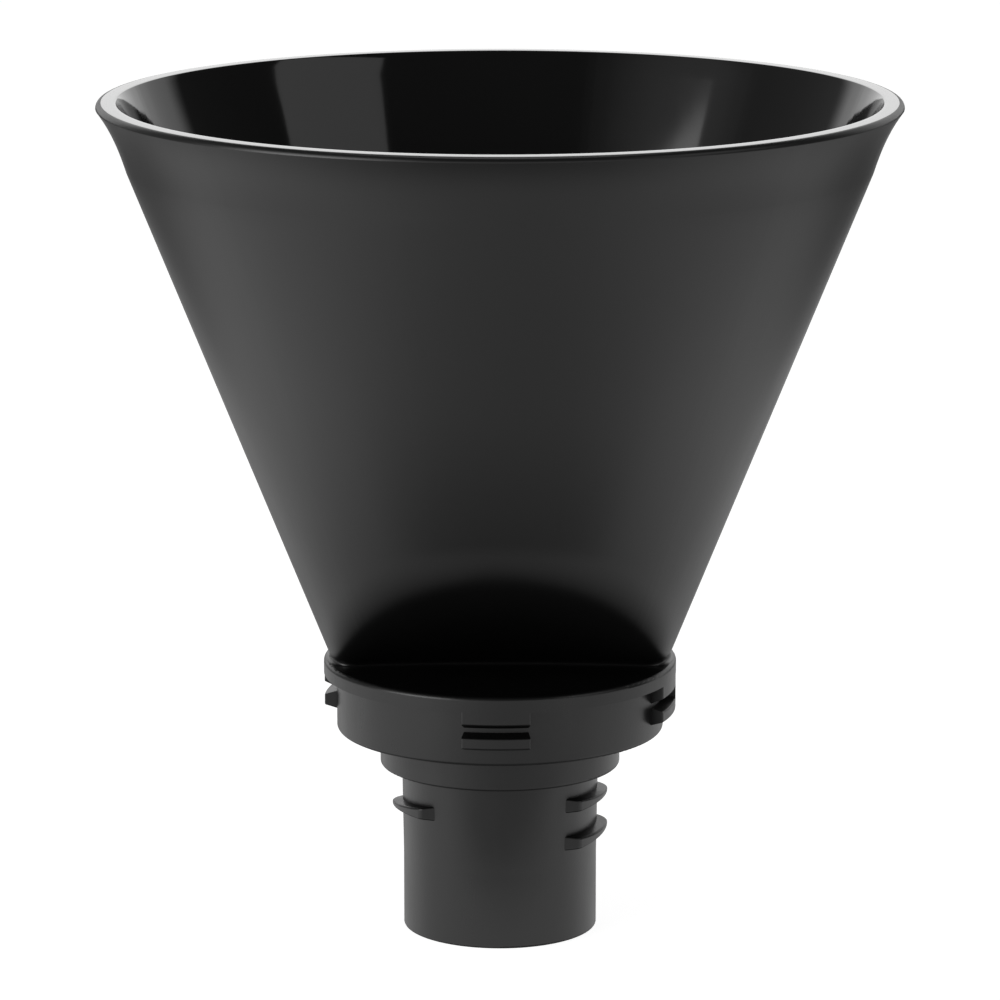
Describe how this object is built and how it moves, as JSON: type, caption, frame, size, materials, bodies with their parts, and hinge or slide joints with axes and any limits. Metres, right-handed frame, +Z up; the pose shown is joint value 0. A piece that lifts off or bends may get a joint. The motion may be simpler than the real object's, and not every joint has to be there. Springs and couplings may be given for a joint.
{
  "type": "filter funnel",
  "caption": "Round plastic funnel that narrows to a wedge foot, on a collar with bayonet lugs and a threaded outlet spout; holds a paper coffee filter on a vacuum jug.",
  "frame": {"origin": "centre of the spout's mouth, on the funnel's axis", "axes": "+Z up the funnel's axis towards the rim; -Y faces one flat side of the wedge foot; X runs along the wedge"},
  "size_m": [0.135, 0.135, 0.143],
  "materials": {
    "cone_plastic": "satin black",
    "adapter_plastic": "fine-textured satin black",
    "seal_rubber": "matt"
  },
  "bodies": {
    "root": {"funnel_cone": "cone_plastic", "jug_collar": "adapter_plastic", "spout_tube": "adapter_plastic", "seal_ring": "seal_rubber"}
  },
  "joints": []
}
